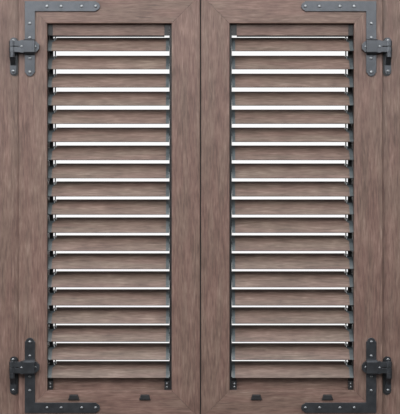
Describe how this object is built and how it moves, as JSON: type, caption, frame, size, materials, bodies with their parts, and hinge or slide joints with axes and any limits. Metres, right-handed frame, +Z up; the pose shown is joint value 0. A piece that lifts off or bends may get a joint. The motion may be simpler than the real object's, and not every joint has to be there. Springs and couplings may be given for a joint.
{
  "type": "louvred shutters",
  "caption": "Pair of hinged shutter leaves with tilting wood-look louvre slats and a tilt bar, in an outer frame with strap hinges.",
  "frame": {"origin": "centre of the outer frame's underside, midway between its front face and its back face", "axes": "+X to the right seen from outside, +Y from outside into the wall, +Z up"},
  "size_m": [1.123, 0.0915, 1.288],
  "materials": {
    "wood_finish": "satin wood-look coating on aluminium",
    "dark_metal": "satin black",
    "screw_steel": "satin dark grey",
    "black_plastic": "matte black",
    "rubber_seal": "matte black"
  },
  "bodies": {
    "outer_frame": {"outer_frame": "wood_finish", "frame_gasket": "rubber_seal", "hinge_pins": "dark_metal", "pin_plate_screws": "screw_steel"},
    "left_leaf": {"left_leaf_frame": "wood_finish", "left_carriers": "black_plastic", "left_fillers": "wood_finish", "left_corner_straps": "dark_metal", "left_hinge_arms": "dark_metal", "left_strap_screws": "screw_steel", "left_drain_caps": "wood_finish", "left_leaf_gaskets": "rubber_seal"},
    "left_slat_01": {"left_slat_01": "wood_finish"},
    "left_slat_02": {"left_slat_02": "wood_finish"},
    "left_slat_03": {"left_slat_03": "wood_finish"},
    "left_slat_04": {"left_slat_04": "wood_finish"},
    "left_slat_05": {"left_slat_05": "wood_finish"},
    "left_slat_06": {"left_slat_06": "wood_finish"},
    "left_slat_07": {"left_slat_07": "wood_finish"},
    "left_slat_08": {"left_slat_08": "wood_finish"},
    "left_slat_09": {"left_slat_09": "wood_finish"},
    "left_slat_10": {"left_slat_10": "wood_finish"},
    "left_slat_11": {"left_slat_11": "wood_finish"},
    "left_slat_12": {"left_slat_12": "wood_finish"},
    "left_slat_13": {"left_slat_13": "wood_finish"},
    "left_slat_14": {"left_slat_14": "wood_finish"},
    "left_slat_15": {"left_slat_15": "wood_finish"},
    "left_slat_16": {"left_slat_16": "wood_finish"},
    "left_slat_17": {"left_slat_17": "wood_finish"},
    "left_slat_18": {"left_slat_18": "wood_finish"},
    "left_slat_19": {"left_slat_19": "wood_finish"},
    "left_tilt_bar": {"left_tilt_bar": "black_plastic"},
    "right_leaf": {"right_leaf_frame": "wood_finish", "right_carriers": "black_plastic", "right_fillers": "wood_finish", "right_corner_straps": "dark_metal", "right_hinge_arms": "dark_metal", "right_strap_screws": "screw_steel", "right_drain_caps": "wood_finish", "right_leaf_gaskets": "rubber_seal"},
    "right_slat_01": {"right_slat_01": "wood_finish"},
    "right_slat_02": {"right_slat_02": "wood_finish"},
    "right_slat_03": {"right_slat_03": "wood_finish"},
    "right_slat_04": {"right_slat_04": "wood_finish"},
    "right_slat_05": {"right_slat_05": "wood_finish"},
    "right_slat_06": {"right_slat_06": "wood_finish"},
    "right_slat_07": {"right_slat_07": "wood_finish"},
    "right_slat_08": {"right_slat_08": "wood_finish"},
    "right_slat_09": {"right_slat_09": "wood_finish"},
    "right_slat_10": {"right_slat_10": "wood_finish"},
    "right_slat_11": {"right_slat_11": "wood_finish"},
    "right_slat_12": {"right_slat_12": "wood_finish"},
    "right_slat_13": {"right_slat_13": "wood_finish"},
    "right_slat_14": {"right_slat_14": "wood_finish"},
    "right_slat_15": {"right_slat_15": "wood_finish"},
    "right_slat_16": {"right_slat_16": "wood_finish"},
    "right_slat_17": {"right_slat_17": "wood_finish"},
    "right_slat_18": {"right_slat_18": "wood_finish"},
    "right_slat_19": {"right_slat_19": "wood_finish"},
    "right_tilt_bar": {"right_tilt_bar": "black_plastic"}
  },
  "joints": [
    {"name": "left_leaf_hinge", "type": "hinge", "parent": "outer_frame", "child": "left_leaf", "pos_m": [-0.515, -0.0535, 0.644], "axis": [0, 0, -1], "range_deg": [0, 180]},
    {"name": "left_slat_01_tilt", "type": "hinge", "parent": "left_leaf", "child": "left_slat_01", "pos_m": [-0.2525, -0.0085, 1.094], "axis": [1, 0, 0], "range_deg": [-45, 35]},
    {"name": "left_slat_02_tilt", "type": "hinge", "parent": "left_leaf", "child": "left_slat_02", "pos_m": [-0.2525, -0.0085, 1.044], "axis": [1, 0, 0], "range_deg": [-45, 35]},
    {"name": "left_slat_03_tilt", "type": "hinge", "parent": "left_leaf", "child": "left_slat_03", "pos_m": [-0.2525, -0.0085, 0.994], "axis": [1, 0, 0], "range_deg": [-45, 35]},
    {"name": "left_slat_04_tilt", "type": "hinge", "parent": "left_leaf", "child": "left_slat_04", "pos_m": [-0.2525, -0.0085, 0.944], "axis": [1, 0, 0], "range_deg": [-45, 35]},
    {"name": "left_slat_05_tilt", "type": "hinge", "parent": "left_leaf", "child": "left_slat_05", "pos_m": [-0.2525, -0.0085, 0.894], "axis": [1, 0, 0], "range_deg": [-45, 35]},
    {"name": "left_slat_06_tilt", "type": "hinge", "parent": "left_leaf", "child": "left_slat_06", "pos_m": [-0.2525, -0.0085, 0.844], "axis": [1, 0, 0], "range_deg": [-45, 35]},
    {"name": "left_slat_07_tilt", "type": "hinge", "parent": "left_leaf", "child": "left_slat_07", "pos_m": [-0.2525, -0.0085, 0.794], "axis": [1, 0, 0], "range_deg": [-45, 35]},
    {"name": "left_slat_08_tilt", "type": "hinge", "parent": "left_leaf", "child": "left_slat_08", "pos_m": [-0.2525, -0.0085, 0.744], "axis": [1, 0, 0], "range_deg": [-45, 35]},
    {"name": "left_slat_09_tilt", "type": "hinge", "parent": "left_leaf", "child": "left_slat_09", "pos_m": [-0.2525, -0.0085, 0.694], "axis": [1, 0, 0], "range_deg": [-45, 35]},
    {"name": "left_slat_10_tilt", "type": "hinge", "parent": "left_leaf", "child": "left_slat_10", "pos_m": [-0.2525, -0.0085, 0.644], "axis": [1, 0, 0], "range_deg": [-45, 35]},
    {"name": "left_slat_11_tilt", "type": "hinge", "parent": "left_leaf", "child": "left_slat_11", "pos_m": [-0.2525, -0.0085, 0.594], "axis": [1, 0, 0], "range_deg": [-45, 35]},
    {"name": "left_slat_12_tilt", "type": "hinge", "parent": "left_leaf", "child": "left_slat_12", "pos_m": [-0.2525, -0.0085, 0.544], "axis": [1, 0, 0], "range_deg": [-45, 35]},
    {"name": "left_slat_13_tilt", "type": "hinge", "parent": "left_leaf", "child": "left_slat_13", "pos_m": [-0.2525, -0.0085, 0.494], "axis": [1, 0, 0], "range_deg": [-45, 35]},
    {"name": "left_slat_14_tilt", "type": "hinge", "parent": "left_leaf", "child": "left_slat_14", "pos_m": [-0.2525, -0.0085, 0.444], "axis": [1, 0, 0], "range_deg": [-45, 35]},
    {"name": "left_slat_15_tilt", "type": "hinge", "parent": "left_leaf", "child": "left_slat_15", "pos_m": [-0.2525, -0.0085, 0.394], "axis": [1, 0, 0], "range_deg": [-45, 35]},
    {"name": "left_slat_16_tilt", "type": "hinge", "parent": "left_leaf", "child": "left_slat_16", "pos_m": [-0.2525, -0.0085, 0.344], "axis": [1, 0, 0], "range_deg": [-45, 35]},
    {"name": "left_slat_17_tilt", "type": "hinge", "parent": "left_leaf", "child": "left_slat_17", "pos_m": [-0.2525, -0.0085, 0.294], "axis": [1, 0, 0], "range_deg": [-45, 35]},
    {"name": "left_slat_18_tilt", "type": "hinge", "parent": "left_leaf", "child": "left_slat_18", "pos_m": [-0.2525, -0.0085, 0.244], "axis": [1, 0, 0], "range_deg": [-45, 35]},
    {"name": "left_slat_19_tilt", "type": "hinge", "parent": "left_leaf", "child": "left_slat_19", "pos_m": [-0.2525, -0.0085, 0.194], "axis": [1, 0, 0], "range_deg": [-45, 35]},
    {"name": "left_tilt_bar_pivot", "type": "hinge", "parent": "left_slat_10", "child": "left_tilt_bar", "pos_m": [-0.4069, 0.00889, 0.64866], "axis": [1, 0, 0], "range_deg": [-35, 45]},
    {"name": "right_leaf_hinge", "type": "hinge", "parent": "outer_frame", "child": "right_leaf", "pos_m": [0.515, -0.0535, 0.644], "axis": [0, 0, 1], "range_deg": [0, 180]},
    {"name": "right_slat_01_tilt", "type": "hinge", "parent": "right_leaf", "child": "right_slat_01", "pos_m": [0.2525, -0.0085, 1.094], "axis": [1, 0, 0], "range_deg": [-45, 35]},
    {"name": "right_slat_02_tilt", "type": "hinge", "parent": "right_leaf", "child": "right_slat_02", "pos_m": [0.2525, -0.0085, 1.044], "axis": [1, 0, 0], "range_deg": [-45, 35]},
    {"name": "right_slat_03_tilt", "type": "hinge", "parent": "right_leaf", "child": "right_slat_03", "pos_m": [0.2525, -0.0085, 0.994], "axis": [1, 0, 0], "range_deg": [-45, 35]},
    {"name": "right_slat_04_tilt", "type": "hinge", "parent": "right_leaf", "child": "right_slat_04", "pos_m": [0.2525, -0.0085, 0.944], "axis": [1, 0, 0], "range_deg": [-45, 35]},
    {"name": "right_slat_05_tilt", "type": "hinge", "parent": "right_leaf", "child": "right_slat_05", "pos_m": [0.2525, -0.0085, 0.894], "axis": [1, 0, 0], "range_deg": [-45, 35]},
    {"name": "right_slat_06_tilt", "type": "hinge", "parent": "right_leaf", "child": "right_slat_06", "pos_m": [0.2525, -0.0085, 0.844], "axis": [1, 0, 0], "range_deg": [-45, 35]},
    {"name": "right_slat_07_tilt", "type": "hinge", "parent": "right_leaf", "child": "right_slat_07", "pos_m": [0.2525, -0.0085, 0.794], "axis": [1, 0, 0], "range_deg": [-45, 35]},
    {"name": "right_slat_08_tilt", "type": "hinge", "parent": "right_leaf", "child": "right_slat_08", "pos_m": [0.2525, -0.0085, 0.744], "axis": [1, 0, 0], "range_deg": [-45, 35]},
    {"name": "right_slat_09_tilt", "type": "hinge", "parent": "right_leaf", "child": "right_slat_09", "pos_m": [0.2525, -0.0085, 0.694], "axis": [1, 0, 0], "range_deg": [-45, 35]},
    {"name": "right_slat_10_tilt", "type": "hinge", "parent": "right_leaf", "child": "right_slat_10", "pos_m": [0.2525, -0.0085, 0.644], "axis": [1, 0, 0], "range_deg": [-45, 35]},
    {"name": "right_slat_11_tilt", "type": "hinge", "parent": "right_leaf", "child": "right_slat_11", "pos_m": [0.2525, -0.0085, 0.594], "axis": [1, 0, 0], "range_deg": [-45, 35]},
    {"name": "right_slat_12_tilt", "type": "hinge", "parent": "right_leaf", "child": "right_slat_12", "pos_m": [0.2525, -0.0085, 0.544], "axis": [1, 0, 0], "range_deg": [-45, 35]},
    {"name": "right_slat_13_tilt", "type": "hinge", "parent": "right_leaf", "child": "right_slat_13", "pos_m": [0.2525, -0.0085, 0.494], "axis": [1, 0, 0], "range_deg": [-45, 35]},
    {"name": "right_slat_14_tilt", "type": "hinge", "parent": "right_leaf", "child": "right_slat_14", "pos_m": [0.2525, -0.0085, 0.444], "axis": [1, 0, 0], "range_deg": [-45, 35]},
    {"name": "right_slat_15_tilt", "type": "hinge", "parent": "right_leaf", "child": "right_slat_15", "pos_m": [0.2525, -0.0085, 0.394], "axis": [1, 0, 0], "range_deg": [-45, 35]},
    {"name": "right_slat_16_tilt", "type": "hinge", "parent": "right_leaf", "child": "right_slat_16", "pos_m": [0.2525, -0.0085, 0.344], "axis": [1, 0, 0], "range_deg": [-45, 35]},
    {"name": "right_slat_17_tilt", "type": "hinge", "parent": "right_leaf", "child": "right_slat_17", "pos_m": [0.2525, -0.0085, 0.294], "axis": [1, 0, 0], "range_deg": [-45, 35]},
    {"name": "right_slat_18_tilt", "type": "hinge", "parent": "right_leaf", "child": "right_slat_18", "pos_m": [0.2525, -0.0085, 0.244], "axis": [1, 0, 0], "range_deg": [-45, 35]},
    {"name": "right_slat_19_tilt", "type": "hinge", "parent": "right_leaf", "child": "right_slat_19", "pos_m": [0.2525, -0.0085, 0.194], "axis": [1, 0, 0], "range_deg": [-45, 35]},
    {"name": "right_tilt_bar_pivot", "type": "hinge", "parent": "right_slat_10", "child": "right_tilt_bar", "pos_m": [0.4069, 0.00889, 0.64866], "axis": [1, 0, 0], "range_deg": [-35, 45]}
  ],
  "couplings": [
    {"joint": "left_slat_01_tilt", "follows": "left_slat_10_tilt", "ratio": 1},
    {"joint": "left_slat_02_tilt", "follows": "left_slat_10_tilt", "ratio": 1},
    {"joint": "left_slat_03_tilt", "follows": "left_slat_10_tilt", "ratio": 1},
    {"joint": "left_slat_04_tilt", "follows": "left_slat_10_tilt", "ratio": 1},
    {"joint": "left_slat_05_tilt", "follows": "left_slat_10_tilt", "ratio": 1},
    {"joint": "left_slat_06_tilt", "follows": "left_slat_10_tilt", "ratio": 1},
    {"joint": "left_slat_07_tilt", "follows": "left_slat_10_tilt", "ratio": 1},
    {"joint": "left_slat_08_tilt", "follows": "left_slat_10_tilt", "ratio": 1},
    {"joint": "left_slat_09_tilt", "follows": "left_slat_10_tilt", "ratio": 1},
    {"joint": "left_slat_11_tilt", "follows": "left_slat_10_tilt", "ratio": 1},
    {"joint": "left_slat_12_tilt", "follows": "left_slat_10_tilt", "ratio": 1},
    {"joint": "left_slat_13_tilt", "follows": "left_slat_10_tilt", "ratio": 1},
    {"joint": "left_slat_14_tilt", "follows": "left_slat_10_tilt", "ratio": 1},
    {"joint": "left_slat_15_tilt", "follows": "left_slat_10_tilt", "ratio": 1},
    {"joint": "left_slat_16_tilt", "follows": "left_slat_10_tilt", "ratio": 1},
    {"joint": "left_slat_17_tilt", "follows": "left_slat_10_tilt", "ratio": 1},
    {"joint": "left_slat_18_tilt", "follows": "left_slat_10_tilt", "ratio": 1},
    {"joint": "left_slat_19_tilt", "follows": "left_slat_10_tilt", "ratio": 1},
    {"joint": "left_tilt_bar_pivot", "follows": "left_slat_10_tilt", "ratio": -1},
    {"joint": "right_slat_01_tilt", "follows": "right_slat_10_tilt", "ratio": 1},
    {"joint": "right_slat_02_tilt", "follows": "right_slat_10_tilt", "ratio": 1},
    {"joint": "right_slat_03_tilt", "follows": "right_slat_10_tilt", "ratio": 1},
    {"joint": "right_slat_04_tilt", "follows": "right_slat_10_tilt", "ratio": 1},
    {"joint": "right_slat_05_tilt", "follows": "right_slat_10_tilt", "ratio": 1},
    {"joint": "right_slat_06_tilt", "follows": "right_slat_10_tilt", "ratio": 1},
    {"joint": "right_slat_07_tilt", "follows": "right_slat_10_tilt", "ratio": 1},
    {"joint": "right_slat_08_tilt", "follows": "right_slat_10_tilt", "ratio": 1},
    {"joint": "right_slat_09_tilt", "follows": "right_slat_10_tilt", "ratio": 1},
    {"joint": "right_slat_11_tilt", "follows": "right_slat_10_tilt", "ratio": 1},
    {"joint": "right_slat_12_tilt", "follows": "right_slat_10_tilt", "ratio": 1},
    {"joint": "right_slat_13_tilt", "follows": "right_slat_10_tilt", "ratio": 1},
    {"joint": "right_slat_14_tilt", "follows": "right_slat_10_tilt", "ratio": 1},
    {"joint": "right_slat_15_tilt", "follows": "right_slat_10_tilt", "ratio": 1},
    {"joint": "right_slat_16_tilt", "follows": "right_slat_10_tilt", "ratio": 1},
    {"joint": "right_slat_17_tilt", "follows": "right_slat_10_tilt", "ratio": 1},
    {"joint": "right_slat_18_tilt", "follows": "right_slat_10_tilt", "ratio": 1},
    {"joint": "right_slat_19_tilt", "follows": "right_slat_10_tilt", "ratio": 1},
    {"joint": "right_tilt_bar_pivot", "follows": "right_slat_10_tilt", "ratio": -1}
  ]
}
